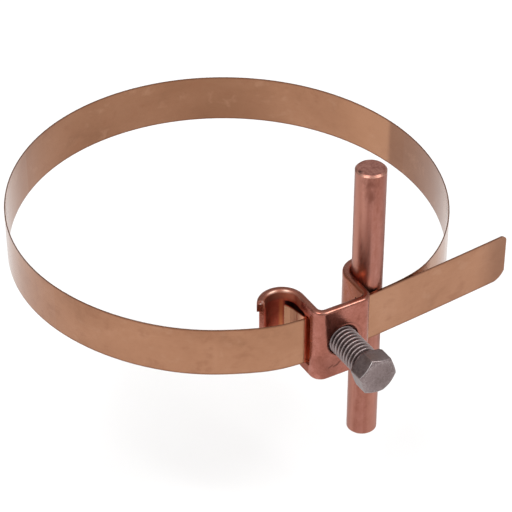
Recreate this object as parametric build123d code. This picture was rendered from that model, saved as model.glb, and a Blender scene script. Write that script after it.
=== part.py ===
from build123d import *
import math
import os

os.makedirs("parts", exist_ok=True)

# Strap-type downpipe holder for a round lightning conductor.
# Millimetres. Z is the downpipe's axis, and the conductor's. The origin is on
# the strap ring's axis, half way up the strap. The bolt head faces -Y.

# ---- clamp body: one folded strip of copper sheet --------------------------
sheet_t = 2.0            # sheet thickness
sheet_h = 21.5           # strip width, standing along Z
plate_front_y = -62.07   # outer face of the flat that carries the bolt
edge_r = 0.8            # tumbled long edges
rim_r = 0.3              # tumbled rims of the window

hook_c = (-13.0, -52.3)  # centre of the open hook at the left
hook_r = 5.3             # its mid-sheet radius
hook_end = 155.0         # angle of the hook's free end, seen from hook_c
left_bend_r = 2.2        # mid-sheet radius, flank to flat
right_bend_r = 2.2       # mid-sheet radius, flat to web
web_x = 6.95             # mid-sheet plane of the web beside the conductor
cradle_c = (12.25, -51.85)   # centre of the conductor cradle
cradle_r = 5.3           # its mid-sheet radius
cradle_turn = 138.0      # how far the sheet wraps round the conductor

window_h = 15.0          # strap window in the flank
window_y = (-58.55, -56.35)
window_corner_r = 0.7
slot_h = 14.8            # strap slot in the web
slot_y = (-58.8, -56.3)
notch_h = 15.4           # open notch in the hook's free end
notch_deg = 27.0
notch_rim_r = 0.4

bolt_x = -0.8            # bolt axis, half way up the flat
bore_r = 3.95            # tapped bore, at the thread's crests
collar_r = 5.1           # plunged collar behind the flat
collar_len = 1.6
draw_r = 0.95            # rounding where the sheet is drawn into the collar

# ---- strap ----------------------------------------------------------------
strap_t = 0.3
strap_w = 14.0
tail_tip = (54.70, -52.963)      # middle of the strap at the tail's end
tail_heading = -173.961          # degrees, running from the tail to the clamp
# Each run is (length, turn in degrees). From the tail: past the conductor,
# through the slot, under the bolt, out through the window, round the
# downpipe, and back past the conductor, under the bolt and out through the
# window again. There the end is folded back into the hook, which holds it.
strap_runs = [
    (26.0, -0.92), (10.0, -0.58), (8.0, 0.08), (8.0, -4.03), (8.0, -0.81),
    (8.0, -6.61), (8.0, -14.71), (10.0, -6.81), (14.0, -16.05),
    (33.04, -31.58), (33.04, -33.22), (33.04, -29.8), (33.04, -33.21),
    (33.04, -33.11), (33.04, -32.2), (33.04, -30.33), (33.04, -29.7),
    (18.0, -17.97), (12.0, -15.26), (8.0, -16.98), (8.0, -7.83),
    (8.0, -0.62), (8.0, -4.35), (7.95, -1.04),
    (1.36, -80.0), (2.45, 0.0), (2.2, 10.0), (1.9, 8.0),
]

# ---- bolt -----------------------------------------------------------------
thread_r = 3.9           # M8, at the crests
bolt_len = 15.65         # under the head
head_back_y = -73.5      # bearing face of the head
head_k = 4.9
head_af = 9.5            # reduced head
head_turn = 48.6         # how the hexagon stands, degrees from +X towards +Z
tip_chamfer = 0.7

# ---- conductor sample -------------------------------------------------------
rod_c = (12.25, -51.85)
rod_r = 4.0
rod_z = (-41.25, 41.75)
rod_chamfer = 0.5


def chain(start, heading, runs):
    """Tangent lines and arcs as (kind, length, turn, start point, heading)."""
    x, y = start
    h = math.radians(heading)
    out = []
    for length, turn in runs:
        a = math.radians(turn)
        out.append((length, a, x, y, h))
        if abs(a) < 1e-6:
            x += length * math.cos(h)
            y += length * math.sin(h)
        else:
            r = length / a
            x += r * (math.sin(h + a) - math.sin(h))
            y -= r * (math.cos(h + a) - math.cos(h))
            h += a
    return out, (x, y), h


def side_point(x, y, h, off):
    return (x - off * math.sin(h), y + off * math.cos(h))


def side_edges(parts, end, end_h, off):
    """The chain moved sideways by off, as edges."""
    edges = []
    for i, (length, a, x, y, h) in enumerate(parts):
        p = side_point(x, y, h, off)
        if i + 1 < len(parts):
            q = side_point(parts[i + 1][2], parts[i + 1][3], parts[i + 1][4], off)
        else:
            q = side_point(end[0], end[1], end_h, off)
        if abs(a) < 1e-6:
            edges.append(Edge.make_line(Vector(*p, 0), Vector(*q, 0)))
        else:
            r = length / a
            hm = h + a / 2
            mx = x + r * (math.sin(hm) - math.sin(h))
            my = y - r * (math.cos(hm) - math.cos(h))
            m = side_point(mx, my, hm, off)
            edges.append(Edge.make_three_point_arc(Vector(*p, 0), Vector(*m, 0), Vector(*q, 0)))
    return edges


def strip(start, heading, runs, thick, height):
    """A strip standing on edge along a chain of runs."""
    parts, end, end_h = chain(start, heading, runs)
    left = side_edges(parts, end, end_h, thick / 2)
    right = side_edges(parts, end, end_h, -thick / 2)
    cap0 = Edge.make_line(right[0] @ 0, left[0] @ 0)
    cap1 = Edge.make_line(left[-1] @ 1, right[-1] @ 1)
    wire = Wire(left + [cap1] + right + [cap0])
    face = Face(wire)
    solid = Solid.extrude(face, Vector(0, 0, height))
    return Pos(0, 0, -height / 2) * solid, end, end_h


def prism(points, z0, z1):
    wire = Wire.make_polygon([Vector(x, y, 0) for x, y in points], close=True)
    return Pos(0, 0, z0) * Solid.extrude(Face(wire), Vector(0, 0, z1 - z0))


# ---------------------------------------------------------------- clamp body
flat_mid_y = plate_front_y + sheet_t / 2
hook_start = (
    hook_c[0] + hook_r * math.cos(math.radians(hook_end)),
    hook_c[1] + hook_r * math.sin(math.radians(hook_end)),
)
flank_x = hook_c[0] + hook_r
body_runs = [
    (math.radians(hook_end) * hook_r, -hook_end),
    (hook_c[1] - (flat_mid_y + left_bend_r), 0.0),
    (math.pi / 2 * left_bend_r, 90.0),
    ((web_x - right_bend_r) - (flank_x + left_bend_r), 0.0),
    (math.pi / 2 * right_bend_r, 90.0),
    (cradle_c[1] - (flat_mid_y + right_bend_r), 0.0),
    (math.radians(cradle_turn) * cradle_r, -cradle_turn),
]
body, body_end, body_end_h = strip(hook_start, hook_end - 90.0, body_runs, sheet_t, sheet_h)

# the rounding of the long edges, before anything is punched
top_edges = body.edges().filter_by(Plane.XY)
body = body.fillet(edge_r, top_edges)

# window: flank, for the two layers of strap
window = Pos(hook_c[0] + hook_r, (window_y[0] + window_y[1]) / 2, 0) * Box(
    3.6, window_y[1] - window_y[0], window_h
)
window = window.fillet(window_corner_r, window.edges().filter_by(Axis.X))
body = body - window
rims = [
    e
    for e in body.edges()
    if abs(e.center().Z) < window_h / 2 + 0.05
    and -9.0 < e.center().X < -6.0
    and window_y[0] - 0.1 < e.center().Y < window_y[1] + 0.1
    and e.bounding_box().size.X < 0.2
]
body = body.fillet(rim_r, rims)

# slot: web, for the two layers of strap
slot = Pos(web_x, (slot_y[0] + slot_y[1]) / 2, 0) * Box(6.0, slot_y[1] - slot_y[0], slot_h)
body = body - slot

# notch in the hook's free end
hx, hy = hook_c
b0 = math.radians(hook_end + 25.0)
b1 = math.radians(hook_end - notch_deg)
notch = prism(
    [
        (hx + 2.0 * math.cos(b1), hy + 2.0 * math.sin(b1)),
        (hx + 9.0 * math.cos(b1), hy + 9.0 * math.sin(b1)),
        (hx - 9.0, hy + 7.5),
        (hx + 9.0 * math.cos(b0), hy + 9.0 * math.sin(b0)),
        (hx + 2.0 * math.cos(b0), hy + 2.0 * math.sin(b0)),
    ],
    -notch_h / 2,
    notch_h / 2,
)
body = body - notch
cut = math.radians(hook_end - notch_deg)
notch_rims = [
    e
    for e in body.edges()
    if e.geom_type == GeomType.LINE
    and abs(e.tangent_at(0.5).Z) > 0.99
    and abs(e.center().Z) < 0.1
    and abs(math.atan2(e.center().Y - hy, e.center().X - hx) - cut) < 0.03
]
body = body.fillet(notch_rim_r, notch_rims)

# plunged and tapped hole
back_y = plate_front_y + sheet_t
along_y = Plane(origin=(bolt_x, plate_front_y, 0), x_dir=(1, 0, 0), z_dir=(0, 1, 0))
collar = along_y * Pos(0, 0, sheet_t / 2) * Cylinder(
    collar_r, sheet_t / 2 + collar_len, align=(Align.CENTER, Align.CENTER, Align.MIN)
)
body = body + collar
bore = along_y * Pos(0, 0, -1.0) * Cylinder(
    bore_r, sheet_t + collar_len + 2.0, align=(Align.CENTER, Align.CENTER, Align.MIN)
)
body = body - bore
front_rim = [
    e
    for e in body.edges().filter_by(GeomType.CIRCLE)
    if abs(e.center().Y - plate_front_y) < 0.02 and abs(e.radius - bore_r) < 0.02
]
body = body.fillet(draw_r, front_rim)
body = body.solids().sort_by(SortBy.VOLUME)[-1]

# --------------------------------------------------------------------- strap
strap, fold_end, fold_h = strip(tail_tip, tail_heading, strap_runs, strap_t, strap_w)
# the tail's end: a small corner above, a long lead-in below
out_h = math.radians(tail_heading + 180.0)
tail_plane = Plane(
    origin=(tail_tip[0], tail_tip[1], 0),
    x_dir=(math.cos(out_h), math.sin(out_h), 0),
    z_dir=(math.sin(out_h), -math.cos(out_h), 0),
)
half = strap_w / 2
low = Wire(
    [
        Edge.make_three_point_arc(Vector(0.05, -4.3, 0), Vector(-1.25, -6.05, 0), Vector(-4.3, -half - 0.02, 0)),
        Edge.make_line(Vector(-4.3, -half - 0.02, 0), Vector(-4.3, -half - 1, 0)),
        Edge.make_line(Vector(-4.3, -half - 1, 0), Vector(1.0, -half - 1, 0)),
        Edge.make_line(Vector(1.0, -half - 1, 0), Vector(1.0, -4.3, 0)),
        Edge.make_line(Vector(1.0, -4.3, 0), Vector(0.05, -4.3, 0)),
    ]
)
high = Wire(
    [
        Edge.make_three_point_arc(Vector(0.05, 5.3, 0), Vector(-0.55, 6.35, 0), Vector(-1.8, half + 0.02, 0)),
        Edge.make_line(Vector(-1.8, half + 0.02, 0), Vector(-1.8, half + 1, 0)),
        Edge.make_line(Vector(-1.8, half + 1, 0), Vector(1.0, half + 1, 0)),
        Edge.make_line(Vector(1.0, half + 1, 0), Vector(1.0, 5.3, 0)),
        Edge.make_line(Vector(1.0, 5.3, 0), Vector(0.05, 5.3, 0)),
    ]
)
for w in (low, high):
    cutter = tail_plane * (Pos(0, 0, -2) * Solid.extrude(Face(w), Vector(0, 0, 4)))
    strap = strap - cutter
strap = strap.solids().sort_by(SortBy.VOLUME)[-1]

# ---------------------------------------------------------------------- bolt
bolt_axis = Plane(origin=(bolt_x, head_back_y, 0), x_dir=(1, 0, 0), z_dir=(0, -1, 0))
# on this plane x is +X and y is +Z, and its z runs out of the head
shank = Pos(0, 0, -bolt_len) * Cylinder(
    thread_r, bolt_len + 0.5, align=(Align.CENTER, Align.CENTER, Align.MIN)
)
tip_edge = shank.edges().filter_by(GeomType.CIRCLE).sort_by(Axis.Z)[0]
shank = shank.chamfer(tip_chamfer, None, [tip_edge])
corner_r = head_af / math.sqrt(3.0)
corners = []
for k in range(6):
    t = math.radians(head_turn + 60.0 * k)
    corners.append(Vector(corner_r * math.cos(t), corner_r * math.sin(t), 0))
head = Solid.extrude(Face(Wire.make_polygon(corners, close=True)), Vector(0, 0, head_k))
# 30 degree chamfer on the corners of the outer face
flat_r = 0.475 * head_af
cone_h = 3.0
cone = Pos(0, 0, head_k - cone_h) * Cone(
    flat_r + cone_h / math.tan(math.radians(30.0)), flat_r, cone_h,
    align=(Align.CENTER, Align.CENTER, Align.MIN),
)
block = Pos(0, 0, -0.5) * Cylinder(
    flat_r + cone_h / math.tan(math.radians(30.0)), head_k - cone_h + 0.5,
    align=(Align.CENTER, Align.CENTER, Align.MIN),
)
head = head & (cone + block)
bolt = bolt_axis * (head + shank)
bolt = bolt.solids().sort_by(SortBy.VOLUME)[-1]

# ----------------------------------------------------------------- conductor
rod = Pos(rod_c[0], rod_c[1], rod_z[0]) * Cylinder(
    rod_r, rod_z[1] - rod_z[0], align=(Align.CENTER, Align.CENTER, Align.MIN)
)
rod = rod.chamfer(rod_chamfer, None, rod.edges().filter_by(GeomType.CIRCLE))
rod = rod.solids()[0]

for name, solid in (
    ("clamp_body", body),
    ("strap", strap),
    ("hex_bolt", bolt),
    ("conductor_rod", rod),
):
    solid.label = name
    export_step(solid, f"parts/{name}.step")

print("strap length", round(sum(r[0] for r in strap_runs), 1), "fold ends", [round(v, 2) for v in fold_end])
print("body ends", [round(v, 2) for v in body_end])
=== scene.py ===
import math

import bpy
import numpy as np
from mathutils import Matrix, Vector


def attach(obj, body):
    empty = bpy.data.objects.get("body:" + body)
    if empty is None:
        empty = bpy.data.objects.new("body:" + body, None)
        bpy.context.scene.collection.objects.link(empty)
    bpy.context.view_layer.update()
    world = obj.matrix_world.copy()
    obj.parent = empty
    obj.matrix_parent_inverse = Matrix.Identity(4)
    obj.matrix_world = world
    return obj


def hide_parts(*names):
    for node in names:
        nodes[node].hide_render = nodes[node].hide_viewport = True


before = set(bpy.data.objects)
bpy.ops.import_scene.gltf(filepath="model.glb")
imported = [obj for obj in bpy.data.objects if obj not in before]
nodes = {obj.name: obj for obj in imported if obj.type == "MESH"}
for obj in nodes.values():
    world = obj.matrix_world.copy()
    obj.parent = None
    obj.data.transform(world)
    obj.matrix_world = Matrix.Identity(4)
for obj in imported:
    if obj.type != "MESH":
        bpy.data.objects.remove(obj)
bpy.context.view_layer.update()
MM = 0.001
scene = bpy.context.scene


# --------------------------------------------------------------- node helpers
class Mat:
    """A material built from nodes. Sockets come back as outputs to link on."""

    def __init__(self, name):
        self.m = bpy.data.materials.new(name)
        self.m.use_nodes = True
        self.t = self.m.node_tree
        self.t.nodes.clear()
        self.out = self.t.nodes.new("ShaderNodeOutputMaterial")
        self.bsdf = self.t.nodes.new("ShaderNodeBsdfPrincipled")
        self.t.links.new(self.bsdf.outputs[0], self.out.inputs[0])
        self.coord = self.t.nodes.new("ShaderNodeTexCoord")
        mp = self.t.nodes.new("ShaderNodeMapping")
        mp.inputs["Scale"].default_value = (1000, 1000, 1000)
        self.t.links.new(self.coord.outputs["Object"], mp.inputs["Vector"])
        self.mm = mp.outputs["Vector"]          # the piece's own place, in mm
        sep = self.t.nodes.new("ShaderNodeSeparateXYZ")
        self.t.links.new(self.mm, sep.inputs[0])
        self.x, self.y, self.z = sep.outputs

    def put(self, socket, value):
        if isinstance(value, bpy.types.NodeSocket):
            self.t.links.new(value, socket)
        else:
            socket.default_value = value

    def math(self, op, a, b=None, c=None, clamp=False):
        n = self.t.nodes.new("ShaderNodeMath")
        n.operation = op
        n.use_clamp = clamp
        self.put(n.inputs[0], a)
        if b is not None:
            self.put(n.inputs[1], b)
        if c is not None:
            self.put(n.inputs[2], c)
        return n.outputs[0]

    def vec(self, x, y, z):
        n = self.t.nodes.new("ShaderNodeCombineXYZ")
        for s, v in zip(n.inputs, (x, y, z)):
            self.put(s, v)
        return n.outputs[0]

    def stretch(self, vector, scale, offset=(0, 0, 0), rotation=(0, 0, 0)):
        n = self.t.nodes.new("ShaderNodeMapping")
        self.t.links.new(vector, n.inputs["Vector"])
        n.inputs["Scale"].default_value = scale
        n.inputs["Location"].default_value = offset
        n.inputs["Rotation"].default_value = rotation
        return n.outputs[0]

    def noise(self, vector, scale, detail=3.0, rough=0.5, distort=0.0):
        n = self.t.nodes.new("ShaderNodeTexNoise")
        self.t.links.new(vector, n.inputs["Vector"])
        n.inputs["Scale"].default_value = scale
        n.inputs["Detail"].default_value = detail
        n.inputs["Roughness"].default_value = rough
        n.inputs["Distortion"].default_value = distort
        return n.outputs["Fac"]

    def ramp(self, fac, stops, interp="LINEAR"):
        n = self.t.nodes.new("ShaderNodeValToRGB")
        self.put(n.inputs[0], fac)
        cr = n.color_ramp
        cr.interpolation = interp
        while len(cr.elements) < len(stops):
            cr.elements.new(0.5)
        for e, (pos, col) in zip(cr.elements, stops):
            e.position = pos
            e.color = tuple(col) + (1.0,) if len(col) == 3 else col
        return n.outputs["Color"]

    def span(self, value, a, b, lo=0.0, hi=1.0, smooth=True):
        n = self.t.nodes.new("ShaderNodeMapRange")
        n.interpolation_type = "SMOOTHSTEP" if smooth else "LINEAR"
        n.clamp = True
        self.put(n.inputs[0], value)
        for s, v in zip(list(n.inputs)[1:5], (a, b, lo, hi)):
            s.default_value = v
        return n.outputs[0]

    def mix(self, fac, a, b, blend="MIX"):
        n = self.t.nodes.new("ShaderNodeMix")
        n.data_type = "RGBA"
        n.blend_type = blend
        n.clamp_factor = True
        self.put(n.inputs[0], fac)
        ins = [s for s in n.inputs if s.type == "RGBA"]
        for s, v in zip(ins, (a, b)):
            if isinstance(v, bpy.types.NodeSocket):
                self.t.links.new(v, s)
            else:
                s.default_value = tuple(v) + (1.0,)
        return [s for s in n.outputs if s.type == "RGBA"][0]

    def bump(self, height, strength, dist_mm, under=None):
        n = self.t.nodes.new("ShaderNodeBump")
        n.inputs["Strength"].default_value = strength
        n.inputs["Distance"].default_value = dist_mm * MM
        self.t.links.new(height, n.inputs["Height"])
        if under is not None:
            self.t.links.new(under, n.inputs["Normal"])
        return n.outputs[0]

    def dist2(self, cx, cy):
        """Distance in plan from a point, in mm."""
        dx = self.math("SUBTRACT", self.x, cx)
        dy = self.math("SUBTRACT", self.y, cy)
        return self.math("SQRT", self.math("ADD", self.math("MULTIPLY", dx, dx), self.math("MULTIPLY", dy, dy)))

    def blob(self, centre, radii, wobble=None, amount=0.0):
        """1 at centre falling to 0 at an ellipsoid of the given radii (mm)."""
        dx = self.math("DIVIDE", self.math("SUBTRACT", self.x, centre[0]), radii[0])
        dy = self.math("DIVIDE", self.math("SUBTRACT", self.y, centre[1]), radii[1])
        dz = self.math("DIVIDE", self.math("SUBTRACT", self.z, centre[2]), radii[2])
        d = self.math("SQRT", self.math("ADD", self.math("ADD", self.math("MULTIPLY", dx, dx), self.math("MULTIPLY", dy, dy)), self.math("MULTIPLY", dz, dz)))
        if wobble is not None:
            d = self.math("ADD", d, self.math("MULTIPLY", self.math("SUBTRACT", wobble, 0.5), amount))
        return self.span(d, 0.0, 1.0, 1.0, 0.0)


def give(obj, mat):
    for s in obj.material_slots:
        s.material = mat
    if not obj.material_slots:
        obj.data.materials.append(mat)


# ---------------------------------------------------------------- strap
def strap_material():
    k = Mat("satin_copper_strip")
    ang = k.math("MULTIPLY", k.math("ARCTAN2", k.y, k.x), 59.0)
    along = k.vec(ang, k.z, 0.0)
    cloud = k.noise(k.stretch(k.mm, (1, 1, 1.4), (14, 52, 3)), 0.050, 3.0, 0.5, 0.5)
    blotch = k.noise(k.stretch(k.mm, (1, 1, 1.3), (31, 7, 3)), 0.16, 5.0, 0.62, 0.3)
    mott = k.noise(k.stretch(k.mm, (1, 1, 1), (3, 17, 9)), 0.62, 4.0, 0.6, 0.2)
    lines = k.noise(k.stretch(along, (0.030, 2.4, 1)), 1.0, 4.0, 0.65)
    grain = k.noise(k.stretch(along, (0.5, 6.0, 1), (5, 2, 0)), 1.0, 2.0, 0.6)
    tone = k.math("ADD", k.math("MULTIPLY", cloud, 0.50), k.math("MULTIPLY", blotch, 0.28))
    tone = k.math("ADD", tone, k.math("MULTIPLY", lines, 0.10))
    tone = k.math("ADD", tone, k.math("MULTIPLY", mott, 0.12))
    col = k.ramp(tone, [(0.34, (0.268, 0.126, 0.071)), (0.46, (0.345, 0.169, 0.098)),
                        (0.56, (0.378, 0.189, 0.111)), (0.70, (0.425, 0.224, 0.138))])
    # painted shade: the side of the ring away from the clamp darker, with a darker patch on its far inside
    far_side_painted_shade = k.math("MULTIPLY", k.span(k.y, 5.0, 52.0), k.span(k.math("SUBTRACT", k.y, k.math("MULTIPLY", k.x, 0.9)), -8.0, 42.0))
    col = k.mix(k.math("MULTIPLY", far_side_painted_shade, 0.42), col, (0.225, 0.108, 0.062))
    col = k.mix(k.math("MULTIPLY", k.blob((28.0, 49.0, 0.0), (26.0, 20.0, 40.0), cloud, 0.5), 0.40), col, (0.185, 0.082, 0.044))
    # faint stains and the browner rolled edges
    stain = k.span(blotch, 0.52, 0.70)
    col = k.mix(k.math("MULTIPLY", stain, 0.45), col, (0.255, 0.112, 0.062))
    # darker towards the free tail's end and where it runs back past the conductor
    darker_zone = k.math("MAXIMUM", k.math("MULTIPLY", k.span(k.x, 44.0, 53.0), k.span(k.y, -20.0, -40.0)), k.math("MULTIPLY", k.span(k.math("ADD", k.y, k.math("MULTIPLY", mott, 0.6)), 9.6, 6.6), k.span(k.x, 48.0, 55.0)))
    col = k.mix(k.math("MULTIPLY", darker_zone, 0.62), col, (0.190, 0.088, 0.054))
    fresh = k.math("MULTIPLY", k.math("MULTIPLY", k.span(k.y, 32.0, 14.0), k.span(k.y, 7.0, 9.0)), k.span(k.x, 44.0, 50.0))
    col = k.mix(k.math("MULTIPLY", fresh, 0.55), col, (0.450, 0.228, 0.130))
    pale = k.span(blotch, 0.45, 0.30)
    col = k.mix(k.math("MULTIPLY", pale, 0.25), col, (0.50, 0.285, 0.185))
    az = k.math("ABSOLUTE", k.z)
    edge = k.math("MULTIPLY", k.span(k.math("ADD", az, k.math("MULTIPLY", mott, 0.5)), 6.72, 7.15), 0.70)
    col = k.mix(edge, col, (0.165, 0.066, 0.038))
    # painted light: bright copper where the window covers the strap, which lies in shade there
    strap_window_painted_light = k.math("MULTIPLY", k.math("MULTIPLY", k.span(k.x, -9.55, -9.15), k.span(k.x, -6.2, -6.7)), k.span(k.y, -54.0, -55.5))
    col = k.mix(strap_window_painted_light, col, (0.640, 0.260, 0.160))
    k.put(k.bsdf.inputs["Base Color"], col)
    k.bsdf.inputs["Metallic"].default_value = 1.0
    k.put(k.bsdf.inputs["Roughness"], k.span(k.math("ADD", k.math("MULTIPLY", cloud, 0.6), k.math("MULTIPLY", grain, 0.4)), 0.25, 0.75, 0.13, 0.22))
    n = k.bump(lines, 0.06, 0.03)
    n = k.bump(grain, 0.06, 0.02, n)
    n = k.bump(mott, 0.08, 0.04, n)
    n = k.bump(k.noise(k.mm, 0.09, 2.0, 0.5), 0.30, 0.30, n)
    k.put(k.bsdf.inputs["Normal"], n)
    return k.m


# ---------------------------------------------------------------- clamp body
def body_material():
    k = Mat("tumbled_copper_sheet")
    cloud = k.noise(k.stretch(k.mm, (1, 1, 1), (2, 9, 5)), 0.17, 4.0, 0.55, 0.5)
    mott = k.noise(k.stretch(k.mm, (1, 1, 1), (11, 4, 8)), 0.60, 5.0, 0.62, 0.3)
    speck = k.noise(k.stretch(k.mm, (1, 1, 1), (21, 14, 2)), 1.5, 4.0, 0.65, 0.2)
    fine = k.noise(k.mm, 3.0, 3.0, 0.6)
    tone = k.math("ADD", k.math("MULTIPLY", cloud, 0.45), k.math("MULTIPLY", mott, 0.35))
    tone = k.math("ADD", tone, k.math("MULTIPLY", speck, 0.20))
    col = k.ramp(tone, [(0.34, (0.195, 0.062, 0.042)), (0.45, (0.300, 0.106, 0.076)),
                        (0.55, (0.370, 0.140, 0.106)), (0.68, (0.470, 0.200, 0.160))])
    stain = k.span(mott, 0.57, 0.70)
    col = k.mix(k.math("MULTIPLY", stain, 0.40), col, (0.200, 0.066, 0.044))
    # painted shade: a faint darker brown patch beside the bolt, where the plate reflects it
    bolt_painted_shade = k.blob((-4.6, -62.0, 4.0), (4.8, 6.0, 6.0), mott, 0.35)
    col = k.mix(k.math("MULTIPLY", bolt_painted_shade, 0.14), col, (0.150, 0.052, 0.035))
    # darker brown low on the flat
    low = k.blob((-4.2, -62.0, -6.4), (9.0, 6.0, 6.8), cloud, 0.8)
    col = k.mix(k.math("MULTIPLY", low, 0.58), col, (0.200, 0.075, 0.055))
    # redder, brighter copper in the hollows: partly cleaner metal, partly painted light standing in for the copper's
    # reflections between its own walls
    dh = k.dist2(-13.0, -52.3)
    dc = k.dist2(12.25, -51.85)
    hook_in = k.span(dh, 4.50, 5.00, 1.0, 0.0)
    flank = k.math("MULTIPLY", k.span(k.math("ABSOLUTE", k.math("ADD", k.x, 8.7)), 0.25, 0.55, 1.0, 0.0), k.span(k.y, -58.7, -58.0))
    left = k.math("MULTIPLY", k.math("MAXIMUM", hook_in, flank), k.span(k.math("ADD", k.z, k.math("MULTIPLY", mott, 1.2)), 9.6, 8.2, 0.12, 1.0))
    red = k.ramp(tone, [(0.36, (0.450, 0.094, 0.056)), (0.50, (0.560, 0.132, 0.080)), (0.64, (0.660, 0.176, 0.112))])
    # painted reflection: an orange band on the hook's inside, where it mirrors the strap's folded end
    red = k.mix(k.math("MULTIPLY", k.blob((-11.05, -48.5, 2.0), (0.8, 1.1, 11.0)), 0.85), red, (0.760, 0.290, 0.120))
    red = k.mix(k.math("MULTIPLY", k.span(k.x, -14.6, -16.6), 0.55), red, (0.300, 0.050, 0.036))
    col = k.mix(left, col, red)
    # painted light: the upper inside of the hook lighter brown, where the overhead light falls
    hook_top_painted_light = k.math("MULTIPLY", hook_in, k.span(k.z, 7.8, 9.0))
    col = k.mix(k.math("MULTIPLY", hook_top_painted_light, 0.75), col, (0.520, 0.188, 0.112))
    # painted highlights: whitish spots on the hook's inner rim, the rest of that rounded rim darker brown
    pale = k.math("MULTIPLY", k.span(k.z, 9.75, 10.1), k.span(k.z, 10.74, 10.60))
    shine = k.math("MULTIPLY", k.span(dh, 5.3, 5.0), k.span(dh, 4.2, 4.4))
    rim_painted_highlights = k.math("MAXIMUM", k.blob((-13.6, -47.2, 10.3), (2.8, 1.9, 3.0), mott, 0.4), k.blob((-9.3, -48.6, 10.3), (2.0, 2.0, 3.0), mott, 0.4))
    col = k.mix(k.math("MULTIPLY", k.math("MULTIPLY", pale, shine), k.math("ADD", k.math("MULTIPLY", rim_painted_highlights, 0.80), 0.10)), col, (0.920, 0.680, 0.560))
    col = k.mix(k.math("MULTIPLY", k.math("MULTIPLY", pale, shine), k.math("SUBTRACT", 0.45, k.math("MULTIPLY", rim_painted_highlights, 0.45))), col, (0.240, 0.090, 0.060))
    # painted shade: darker just under the plate's front lip, which thins its highlight
    below = k.math("MULTIPLY", k.math("MULTIPLY", k.span(k.z, 9.85, 10.10), k.span(k.z, 10.42, 10.32)), k.span(k.y, -60.6, -61.2))
    col = k.mix(k.math("MULTIPLY", below, 0.50), col, (0.190, 0.068, 0.048))
    # painted highlight: the plate's front lip made paler
    lip = k.math("MULTIPLY", k.math("MULTIPLY", k.span(k.z, 10.30, 10.42), k.span(k.z, 10.70, 10.56)), k.span(k.y, -61.0, -61.4))
    col = k.mix(k.math("MULTIPLY", lip, k.span(mott, 0.38, 0.58, 0.00, 0.36)), col, (0.520, 0.320, 0.250))
    # painted highlights: two whitish dots at the hook's free end
    for at in ((-17.25, -49.85, 10.25), (-17.95, -50.2, 10.0)):
        col = k.mix(k.math("MULTIPLY", k.blob(at, (0.42, 0.42, 0.5)), 1.0), col, (0.960, 0.900, 0.850))
    # the cradle's inside redder and brighter: partly cleaner metal, partly painted light standing in for the copper's
    # reflections between its walls
    seat = k.span(dc, 4.50, 5.05, 1.0, 0.0)
    col = k.mix(seat, col, k.ramp(tone, [(0.36, (0.62, 0.200, 0.135)), (0.50, (0.78, 0.270, 0.185)), (0.64, (0.86, 0.335, 0.250))]))
    # painted light: the channel inside the left bend, seen through the window, made pale where it lies in shade
    channel_painted_light = k.math("MULTIPLY", k.math("MULTIPLY", k.span(k.x, -4.6, -5.6), k.span(k.y, -60.8, -60.3)), k.span(k.y, -56.0, -56.6))
    channel_painted_light = k.math("MULTIPLY", channel_painted_light, k.span(k.math("ABSOLUTE", k.z), 10.2, 9.8))
    channel_painted_light = k.math("MULTIPLY", channel_painted_light, k.span(k.x, -8.75, -8.35))
    # but not the outside of the left bend
    outer = k.math("MULTIPLY", k.math("MULTIPLY", k.span(k.x, -5.2, -5.8), k.span(k.y, -58.5, -58.9)), k.span(k.dist2(-5.5, -58.87), 1.5, 2.2))
    channel_painted_light = k.math("MULTIPLY", channel_painted_light, k.math("SUBTRACT", 1.0, outer))
    col = k.mix(channel_painted_light, col, (0.850, 0.400, 0.290))
    hollow = k.math("MAXIMUM", k.math("MAXIMUM", left, seat), channel_painted_light)
    col = k.mix(k.math("MULTIPLY", k.math("MAXIMUM", hook_in, flank), k.math("MULTIPLY", k.span(k.z, -6.4, -7.6), 0.75)), col, (0.200, 0.075, 0.052))
    # painted shadow: near black in the crevice behind the strap's folded end
    flap_painted_shadow = k.math("MULTIPLY", k.span(k.math("ADD", k.z, k.math("MULTIPLY", mott, 0.4)), 8.05, 7.65), k.span(k.x, -10.7, -10.0))
    flap_painted_shadow = k.math("MULTIPLY", flap_painted_shadow, k.math("MULTIPLY", k.span(k.y, -56.4, -55.6), k.math("MAXIMUM", hook_in, flank)))
    flap_painted_shadow = k.math("MULTIPLY", flap_painted_shadow, k.span(k.z, -6.8, -6.2))
    col = k.mix(k.math("MULTIPLY", flap_painted_shadow, 0.97), col, (0.020, 0.006, 0.010))
    # tarnish down the web where it leaves the bend
    web = k.math("MULTIPLY", k.span(k.math("ABSOLUTE", k.math("SUBTRACT", k.x, 5.95)), 0.3, 0.9, 1.0, 0.0), k.span(k.y, -60.5, -59.5))
    col = k.mix(k.math("MULTIPLY", web, k.span(mott, 0.34, 0.60, 0.30, 0.95)), col, (0.290, 0.086, 0.040))
    bend = k.math("MULTIPLY", k.span(k.x, 6.9, 7.7), k.span(k.y, -58.0, -59.0))
    col = k.mix(k.math("MULTIPLY", bend, k.span(mott, 0.34, 0.60, 0.45, 0.85)), col, (0.170, 0.070, 0.050))
    tarn = k.blob((6.3, -57.8, 10.0), (2.6, 4.6, 5.0), mott, 0.9)
    col = k.mix(k.math("MULTIPLY", tarn, 0.90), col, (0.255, 0.078, 0.040))
    # browner sheared edges
    rim = k.span(k.math("ADD", k.math("ABSOLUTE", k.z), k.math("MULTIPLY", speck, 0.25)), 10.50, 10.86)
    col = k.mix(k.math("MULTIPLY", rim, 0.55), col, (0.175, 0.068, 0.046))
    # painted highlight: an orange glint on the web's inner rim
    web_rim_painted_glint = k.blob((7.75, -55.8, 10.3), (0.75, 2.6, 1.1), mott, 0.4)
    col = k.mix(k.math("MULTIPLY", web_rim_painted_glint, 0.80), col, (0.800, 0.290, 0.180))
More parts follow.
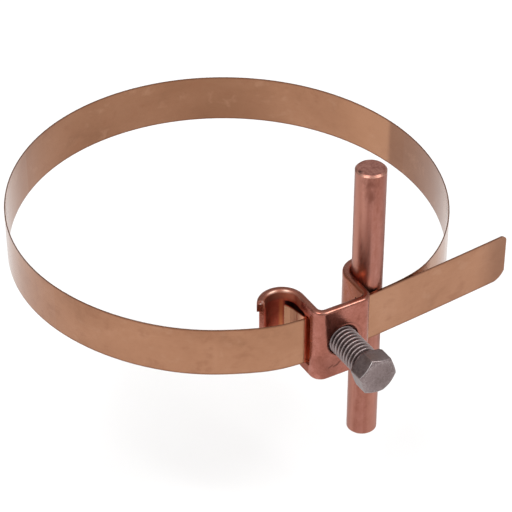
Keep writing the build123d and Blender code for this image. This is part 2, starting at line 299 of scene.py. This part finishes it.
    # a few short scratches low on the flat
    for cx, cz, turn, ln, w in ((-4.5, -6.9, 0.42, 1.0, 0.20), (-3.1, -7.1, 0.30, 0.9, 0.22),
                                (-2.2, -6.6, 0.75, 0.9, 0.26)):
        dx = k.math("SUBTRACT", k.x, cx)
        dz = k.math("SUBTRACT", k.z, cz)
        c, s_ = math.cos(turn), math.sin(turn)
        u = k.math("ADD", k.math("MULTIPLY", dx, c), k.math("MULTIPLY", dz, s_))
        v = k.math("ADD", k.math("MULTIPLY", dx, -s_), k.math("MULTIPLY", dz, c))
        v = k.math("ADD", v, k.math("MULTIPLY", k.math("SUBTRACT", speck, 0.5), 0.5))
        uu = k.span(k.math("ABSOLUTE", u), ln * 0.6, ln, 1.0, 0.0)
        vv = k.span(k.math("ABSOLUTE", v), w * 0.5, w * 1.6, 1.0, 0.0)
        front = k.span(k.y, -61.4, -61.9)
        mark = k.math("MULTIPLY", k.math("MULTIPLY", uu, vv), front)
        col = k.mix(k.math("MULTIPLY", mark, 0.75), col, (0.100, 0.036, 0.026))
    # the drawn ring round the tapped hole
    rr = k.math("SQRT", k.math("ADD", k.math("POWER", k.math("ADD", k.x, 0.8), 2.0), k.math("POWER", k.z, 2.0)))
    ring = k.math("MULTIPLY", k.span(k.math("ABSOLUTE", k.math("SUBTRACT", rr, 5.25)), 0.10, 0.36, 1.0, 0.0), k.span(k.y, -61.4, -61.9))
    ring = k.math("MULTIPLY", ring, k.span(k.x, -4.5, -1.5))
    col = k.mix(k.math("MULTIPLY", ring, 0.30), col, (0.150, 0.052, 0.036))
    k.put(k.bsdf.inputs["Base Color"], col)
    k.bsdf.inputs["Metallic"].default_value = 1.0
    k.bsdf.inputs["Specular Tint"].default_value = (0.84, 0.79, 0.77, 1.0)
    rough = k.span(k.math("ADD", k.math("MULTIPLY", cloud, 0.5), k.math("MULTIPLY", fine, 0.5)), 0.25, 0.75, 0.20, 0.30)
    rough = k.math("ADD", rough, k.math("MULTIPLY", k.math("MAXIMUM", k.math("MAXIMUM", hollow, hook_in), tarn), 0.20))
    k.put(k.bsdf.inputs["Roughness"], rough)
    n = k.bump(cloud, 0.35, 0.30)
    n = k.bump(mott, 0.22, 0.08, n)
    n = k.bump(k.math("MULTIPLY", ring, -1.0), 0.5, 0.12, n)
    n = k.bump(speck, 0.10, 0.03, n)
    k.put(k.bsdf.inputs["Normal"], n)
    return k.m


# ---------------------------------------------------------------- conductor
def rod_material():
    k = Mat("drawn_copper_rod")
    rx = k.math("SUBTRACT", k.x, 12.25)
    ry = k.math("ADD", k.y, 51.85)
    ang = k.math("ARCTAN2", ry, rx)
    cs = k.vec(k.math("MULTIPLY", k.math("COSINE", ang), 4.0), k.math("MULTIPLY", k.math("SINE", ang), 4.0), k.z)
    end = k.span(k.math("ABSOLUTE", k.math("SUBTRACT", k.z, 0.25)), 41.30, 41.42)      # 1 on the cut ends
    drawn = k.noise(k.stretch(cs, (2.0, 2.0, 0.035)), 1.0, 4.0, 0.65)
    streak = k.noise(k.stretch(cs, (0.42, 0.42, 0.016), (3, 9, 4)), 1.0, 3.0, 0.55, 0.3)
    mott = k.noise(k.stretch(k.mm, (1, 1, 0.5), (2, 5, 1)), 0.70, 5.0, 0.62, 0.3)
    speck = k.noise(k.stretch(k.mm, (1, 1, 1), (8, 5, 2)), 1.7, 4.0, 0.65, 0.2)
    tone = k.math("ADD", k.math("MULTIPLY", streak, 0.42), k.math("MULTIPLY", mott, 0.30))
    tone = k.math("ADD", tone, k.math("MULTIPLY", drawn, 0.12))
    tone = k.math("ADD", tone, k.math("MULTIPLY", speck, 0.16))
    side = k.ramp(tone, [(0.34, (0.205, 0.074, 0.052)), (0.46, (0.285, 0.108, 0.078)),
                         (0.56, (0.345, 0.142, 0.108)), (0.70, (0.430, 0.198, 0.158))])
    # a long darker streak down the front, partly tarnish and partly a painted dark reflection, and a stain near the top
    facing = k.math("ADD", k.math("MULTIPLY", k.math("COSINE", ang), -0.643), k.math("MULTIPLY", k.math("SINE", ang), -0.766))
    wob = k.math("MULTIPLY", k.math("SUBTRACT", mott, 0.5), 0.10)
    strip = k.span(k.math("ADD", facing, wob), 0.93, 1.0)
    low = k.math("MULTIPLY", k.span(k.z, 2.0, 12.0), k.span(k.z, 36.0, 22.0))
    side = k.mix(k.math("MULTIPLY", k.math("MULTIPLY", strip, low), 0.45), side, (0.175, 0.062, 0.042))
    # painted light: the left side lighter
    lefts = k.math("ADD", k.math("MULTIPLY", k.math("COSINE", ang), -0.97), k.math("MULTIPLY", k.math("SINE", ang), -0.25))
    side = k.mix(k.math("MULTIPLY", k.math("MULTIPLY", k.span(lefts, 0.80, 0.98), k.span(k.z, 10.0, 16.0)), 0.60), side, (0.560, 0.270, 0.205))
    stain = k.math("MAXIMUM", k.blob((10.0, -55.2, 39.4), (2.9, 3.0, 3.8), mott, 1.5), k.blob((10.3, -55.3, 35.6), (2.1, 2.8, 5.4), mott, 1.2))
    side = k.mix(k.math("MULTIPLY", stain, 0.85), side, (0.170, 0.060, 0.042))
    stain2 = k.blob((11.2, -55.8, -24.5), (1.5, 3.0, 2.6), mott, 1.2)
    side = k.mix(k.math("MULTIPLY", stain2, 0.55), side, (0.190, 0.066, 0.044))
    # painted reflection: a warm orange patch low on the left, just above the cradle, and lighter pink under it, where
    # the cradle's copper reflects
    cradle_painted_reflection = k.blob((8.7, -54.15, 12.7), (1.8, 1.8, 3.4), mott, 0.7)
    side = k.mix(k.math("MULTIPLY", cradle_painted_reflection, 0.60), side, (0.760, 0.320, 0.195))
    under = k.math("MULTIPLY", k.math("MULTIPLY", k.span(k.z, 12.5, 9.5), k.span(k.z, 6.5, 9.0)), k.span(rx, -0.8, -2.0))
    side = k.mix(k.math("MULTIPLY", under, 0.40), side, (0.660, 0.230, 0.150))
    # painted light: both sides lighter low down
    sides_painted_light = k.math("MULTIPLY", k.span(facing, 0.96, 0.82), k.span(k.z, -8.0, -16.0))
    side = k.mix(k.math("MULTIPLY", sides_painted_light, 0.28), side, (0.560, 0.270, 0.205))
    # painted highlight: the chamfer band paler
    cham = k.span(k.math("ABSOLUTE", k.math("SUBTRACT", k.z, 0.25)), 40.85, 41.0)
    side = k.mix(k.math("MULTIPLY", cham, 0.45), side, (0.420, 0.240, 0.185))
    etone = k.math("ADD", k.math("MULTIPLY", mott, 0.5), k.math("MULTIPLY", speck, 0.5))
    face = k.ramp(etone, [(0.36, (0.200, 0.078, 0.058)), (0.48, (0.320, 0.135, 0.105)), (0.62, (0.420, 0.200, 0.160))])
    pit = k.blob((9.0, -51.9, 41.6), (1.05, 1.0, 1.2), speck, 0.6)
    face = k.mix(k.math("MULTIPLY", pit, 0.85), face, (0.070, 0.030, 0.024))
    k.put(k.bsdf.inputs["Base Color"], k.mix(end, side, face))
    k.bsdf.inputs["Metallic"].default_value = 1.0
    k.bsdf.inputs["Specular Tint"].default_value = (0.84, 0.80, 0.79, 1.0)
    k.put(k.bsdf.inputs["Roughness"], k.math("ADD", k.span(k.math("ADD", k.math("MULTIPLY", mott, 0.6), k.math("MULTIPLY", speck, 0.4)), 0.25, 0.75, 0.26, 0.42), k.math("MULTIPLY", cham, 0.02)))
    n = k.bump(k.math("MULTIPLY", drawn, k.math("SUBTRACT", 1.0, end)), 0.12, 0.04)
    n = k.bump(mott, 0.22, 0.10, n)
    n = k.bump(speck, 0.25, 0.06, n)
    n = k.bump(k.math("MULTIPLY", pit, -1.0), 0.6, 0.3, n)
    k.put(k.bsdf.inputs["Normal"], n)
    return k.m


# ---------------------------------------------------------------- bolt
def bolt_material():
    k = Mat("dull_stainless_steel")
    cloud = k.noise(k.stretch(k.mm, (1, 1, 1), (6, 1, 3)), 0.25, 4.0, 0.55, 0.3)
    mott = k.noise(k.stretch(k.mm, (1, 1, 1), (1, 4, 8)), 1.4, 5.0, 0.66, 0.2)
    pits = k.noise(k.stretch(k.mm, (1, 1, 1), (9, 3, 5)), 3.2, 3.0, 0.6, 0.2)
    tone = k.math("ADD", k.math("MULTIPLY", cloud, 0.35), k.math("MULTIPLY", mott, 0.40))
    tone = k.math("ADD", tone, k.math("MULTIPLY", pits, 0.25))
    col = k.ramp(tone, [(0.36, (0.125, 0.093, 0.090)), (0.47, (0.190, 0.145, 0.142)),
                        (0.56, (0.230, 0.178, 0.176)), (0.70, (0.310, 0.250, 0.246))])
    # thread: crests lighter, most on the upper side, partly wear and partly painted highlight; roots darker, painted
    # shade
    rr = k.math("SQRT", k.math("ADD", k.math("POWER", k.math("ADD", k.x, 0.8), 2.0), k.math("POWER", k.z, 2.0)))
    shank = k.span(k.y, -73.52, -73.40)
    crest = k.math("MULTIPLY", k.span(rr, 3.60, 3.86), shank)
    root = k.math("MULTIPLY", k.span(rr, 3.62, 3.25), shank)
    col = k.mix(k.math("MULTIPLY", root, 0.60), col, (0.070, 0.050, 0.048))
    upper_painted_light = k.span(k.math("ADD", k.z, k.math("MULTIPLY", cloud, 2.0)), -0.5, 3.2, 0.25, 0.60)
    col = k.mix(k.math("MULTIPLY", crest, upper_painted_light), col, (0.420, 0.360, 0.355))
    # painted highlights: lighter edges round the head's front, brightest at the left
    cone = k.math("SUBTRACT", k.math("ADD", k.y, 78.4), k.math("MULTIPLY", k.math("MAXIMUM", k.math("SUBTRACT", rr, 4.54), 0.0), 0.577))
    bx = k.math("ADD", k.x, 0.8)
    for turn, amount, width in ((138.6, 1.0, 0.17), (78.6, 0.35, 0.16), (198.6, 0.25, 0.16)):
        q = k.math("ADD", k.math("MULTIPLY", bx, math.cos(math.radians(turn))), k.math("MULTIPLY", k.z, math.sin(math.radians(turn))))
        gap = k.math("MAXIMUM", k.math("ABSOLUTE", k.math("SUBTRACT", q, 4.75)), k.math("ABSOLUTE", cone))
        edge_painted_highlight = k.math("MULTIPLY", k.span(k.math("ADD", gap, k.math("MULTIPLY", mott, 0.12)), width * 0.35, width, 1.0, 0.0), k.span(mott, 0.35, 0.55, 0.45, 1.0))
        col = k.mix(k.math("MULTIPLY", edge_painted_highlight, amount), col, (0.930, 0.900, 0.890))
    front = k.math("MULTIPLY", k.span(k.y, -78.0, -78.25), k.span(rr, 3.2, 4.6))
    col = k.mix(k.math("MULTIPLY", k.math("MULTIPLY", front, k.span(pits, 0.50, 0.62)), 0.50), col, (0.420, 0.370, 0.365))
    # a little brown on the upper flat
    brown = k.blob((-1.5, -76.0, 5.0), (3.5, 2.6, 2.2), mott, 0.8)
    col = k.mix(k.math("MULTIPLY", brown, 0.45), col, (0.190, 0.120, 0.095))
    k.put(k.bsdf.inputs["Base Color"], col)
    k.bsdf.inputs["Metallic"].default_value = 1.0
    k.put(k.bsdf.inputs["Roughness"], k.span(mott, 0.25, 0.75, 0.28, 0.46))
    n = k.bump(mott, 0.40, 0.12)
    n = k.bump(pits, 0.45, 0.06, n)
    k.put(k.bsdf.inputs["Normal"], n)
    return k.m


BOLT_X, HEAD_Y, BOLT_LEN, HEAD_K = -0.8, -73.5, 15.65, 4.9
AF, TURN, PITCH = 9.5, math.radians(48.6), 1.25


def bolt_mesh():
    """The hexagon bolt with its real thread. Local s runs out of the head (-Y)."""
    N = 144
    th = np.arange(N) * 2 * math.pi / N
    verts, rings = [], []

    def ring(r, s):
        r = np.broadcast_to(r, (N,))
        s = np.broadcast_to(s, (N,))
        i0 = len(verts)
        for a, rr, ss in zip(th, r, s):
            verts.append((BOLT_X + rr * math.cos(a), HEAD_Y - ss, rr * math.sin(a)))
        rings.append(i0)

    r_maj, r_min = 3.9, 3.16
    # tip face, a chamfered start, then the thread
    L = BOLT_LEN
    ring(0.02, -L)
    ring(2.2, -L)
    ring(3.02, -L + 0.02)
    step = PITCH / 20.0
    s = -L + 0.08
    first = s
    while s < -0.30:
        f = (s / PITCH - th / (2 * math.pi)) % 1.0      # right-hand helix
        d = np.minimum(f, 1 - f) * 2                      # 0 at the crest, 1 at the root
        crest, root = 0.16, 0.84
        q = np.clip((d - crest) / (root - crest), 0, 1)
        q = q * q * (3 - 2 * q) * 0.55 + q * 0.45
        r = r_maj - (r_maj - r_min) * q
        cap = 3.05 + (s + L) * 0.95                        # 45 degree lead at the tip
        r = np.minimum(r, cap)
        run = np.clip((-s - 0.35) / 1.2, 0, 1)             # the thread fades under the head
        r = r_maj - 0.10 - (r_maj - 0.10 - r) * run
        ring(r, s)
        s += step
    ring(3.86, -0.28)
    ring(3.92, -0.12)
    ring(4.10, -0.01)

    # hexagon with softened corners, as a radius for each angle
    def hexr(af, soft):
        a = (th - TURN + math.pi / 6) % (math.pi / 3) - math.pi / 6      # 0 at a corner
        # distance from the centre to the two flats beside the corner
        n1 = math.pi / 6 - a
        n2 = math.pi / 6 + a
        p = 1.0 / soft
        k1 = np.cos(n1) / (af / 2)
        k2 = np.cos(n2) / (af / 2)
        return 1.0 / (k1 ** p + k2 ** p) ** (1 / p)

    full = hexr(AF, 0.012)
    top_r = 0.478 * AF
    cone = lambda r: HEAD_K - np.maximum(0, r - top_r) * math.tan(math.radians(30))
    ring(np.minimum(full * 0.9, 4.55), 0.0)
    under = np.minimum(full, 5.18)                          # corners eased under the head
    ring(under - 0.16, 0.0)
    ring(under - 0.05, 0.04)
    ring(np.minimum(full, 5.22), 0.14)
    ring(full, 0.42)
    for t in (0.25, 0.5, 0.75):
        ring(full, 0.42 + (cone(full) - 0.18 - 0.42) * t)
    side_top = cone(full)
    ring(full, side_top - 0.16)
    ring(full - 0.012, side_top - 0.07)
    ring(full - 0.07, cone(full - 0.07) - 0.012)
    for t in (0.35, 0.7):
        r = full - 0.07 - (full - 0.07 - top_r) * t
        ring(np.maximum(r, top_r + 0.05), cone(np.maximum(r, top_r + 0.05)))
    ring(top_r + 0.03, cone(np.full(N, top_r + 0.03)) + 0.0)
    ring(top_r - 0.12, HEAD_K - 0.006)
    for r in (4.0, 3.2, 2.4, 1.6, 0.8, 0.02):
        ring(r, HEAD_K - 0.03 * (1 - (r / top_r) ** 2))
    faces = []
    for a, b in zip(rings, rings[1:]):
        for i in range(N):
            j = (i + 1) % N
            faces.append((a + i, b + i, b + j, a + j))
    faces.append(tuple(rings[0] + i for i in range(N)))
    faces.append(tuple(rings[-1] + (N - 1 - i) for i in range(N)))
    me = bpy.data.meshes.new("hex_bolt_threaded")
    me.from_pydata([tuple(np.array(v) * MM) for v in verts], [], faces)
    me.update()
    import bmesh
    bm = bmesh.new()
    bm.from_mesh(me)
    bmesh.ops.recalc_face_normals(bm, faces=bm.faces)
    bm.to_mesh(me)
    bm.free()
    for p in me.polygons:
        p.use_smooth = True
    ob = bpy.data.objects.new("hex_bolt_threaded", me)
    scene.collection.objects.link(ob)
    return ob


give(nodes["strap"], strap_material())
give(nodes["clamp_body"], body_material())
give(nodes["conductor_rod"], rod_material())

bolt = bolt_mesh()
give(bolt, bolt_material())
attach(bolt, "bolt")
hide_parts("hex_bolt")

# ---------------------------------------------------------------- stage
fm = Mat("pale_floor")
fm.bsdf.inputs["Metallic"].default_value = 0.0
fm.bsdf.inputs["Roughness"].default_value = 0.9
fm.bsdf.inputs["Specular IOR Level"].default_value = 0.0
fm.bsdf.inputs["Base Color"].default_value = (0.90, 0.90, 0.90, 1.0)
me = bpy.data.meshes.new("floor")
S, FZ = 6.0, -0.0720
me.from_pydata([(-S, -S, FZ), (S, -S, FZ), (S, S, FZ), (-S, S, FZ)], [], [(0, 1, 2, 3)])
floor = bpy.data.objects.new("floor", me)
scene.collection.objects.link(floor)
me.materials.append(fm.m)

world = bpy.data.worlds.new("studio")
scene.world = world
world.use_nodes = True
wt = world.node_tree
wt.nodes.clear()
wo = wt.nodes.new("ShaderNodeOutputWorld")
wb = wt.nodes.new("ShaderNodeBackground")
wt.links.new(wb.outputs[0], wo.inputs[0])
# a big white room: bright overhead, quieter low down behind the object
tc = wt.nodes.new("ShaderNodeTexCoord")
sx = wt.nodes.new("ShaderNodeSeparateXYZ")
wt.links.new(tc.outputs["Generated"], sx.inputs[0])


def wmath(op, a, b):
    n = wt.nodes.new("ShaderNodeMath")
    n.operation = op
    for sock, v in zip(n.inputs, (a, b)):
        if isinstance(v, bpy.types.NodeSocket):
            wt.links.new(v, sock)
        else:
            sock.default_value = v
    return n.outputs[0]


def wspan(v, a, b, lo, hi):
    n = wt.nodes.new("ShaderNodeMapRange")
    n.interpolation_type = "SMOOTHSTEP"
    n.clamp = True
    wt.links.new(v, n.inputs[0])
    for sock, val in zip(list(n.inputs)[1:5], (a, b, lo, hi)):
        sock.default_value = val
    return n.outputs[0]


wx, wy, wz = sx.outputs
# towards the back left, low down, the room is darker
bl = wmath("ADD", wmath("MULTIPLY", wx, -0.67), wmath("MULTIPLY", wy, 0.74))
room = wspan(wz, 0.62, 0.95, 0.70, 1.15)
room = wmath("SUBTRACT", room, wspan(bl, 0.35, 0.95, 0.0, 0.26))
wt.links.new(room, wb.inputs["Strength"])
wb.inputs["Color"].default_value = (1, 1, 1, 1)


def softbox(name, at, look, size, radiance, size_y=None):
    d = bpy.data.lights.new(name, "AREA")
    d.shape = "RECTANGLE"
    d.size = size
    d.size_y = size_y or size
    d.energy = radiance * math.pi * d.size * d.size_y
    o = bpy.data.objects.new(name, d)
    scene.collection.objects.link(o)
    o.location = at
    o.rotation_euler = (Vector(look) - Vector(at)).to_track_quat("-Z", "Y").to_euler()
    return o


def aim(az, el, dist):
    """A place seen from the object at az degrees right of the camera's side."""
    c, r = Vector((-0.5, -0.866, 0)), Vector((0.866, -0.5, 0))
    a, e = math.radians(az), math.radians(el)
    return tuple((c * math.cos(a) + r * math.sin(a)) * math.cos(e) * dist + Vector((0, 0, math.sin(e) * dist)))


softbox("key_left", aim(-34, 52, 1.35), (0, 0, 0), 0.62, 5.0)
softbox("key_right", aim(62, 45, 1.35), (0, 0, 0), 0.62, 5.0)

# ---------------------------------------------------------------- camera
cam_data = bpy.data.cameras.new("camera")
cam = bpy.data.objects.new("camera", cam_data)
scene.collection.objects.link(cam)
cam_data.sensor_fit = "HORIZONTAL"
cam_data.sensor_width = 36.0
cam_data.lens = 36.0 * 2133.9 / 512.0
cam_data.clip_start = 0.01
cam_data.clip_end = 50.0
right = Vector((0.86603, -0.5, 0.0))
up = Vector((0.29741, 0.51513, 0.80386))
back = right.cross(up)
rot = Matrix((right, up, back)).transposed()
cam.matrix_world = Matrix.Translation(Vector((-0.22765, -0.41118, 0.33393))) @ rot.to_4x4()
scene.camera = cam

scene.view_settings.view_transform = "Standard"
scene.view_settings.look = "None"
scene.view_settings.exposure = 0.0
scene.view_settings.gamma = 1.0
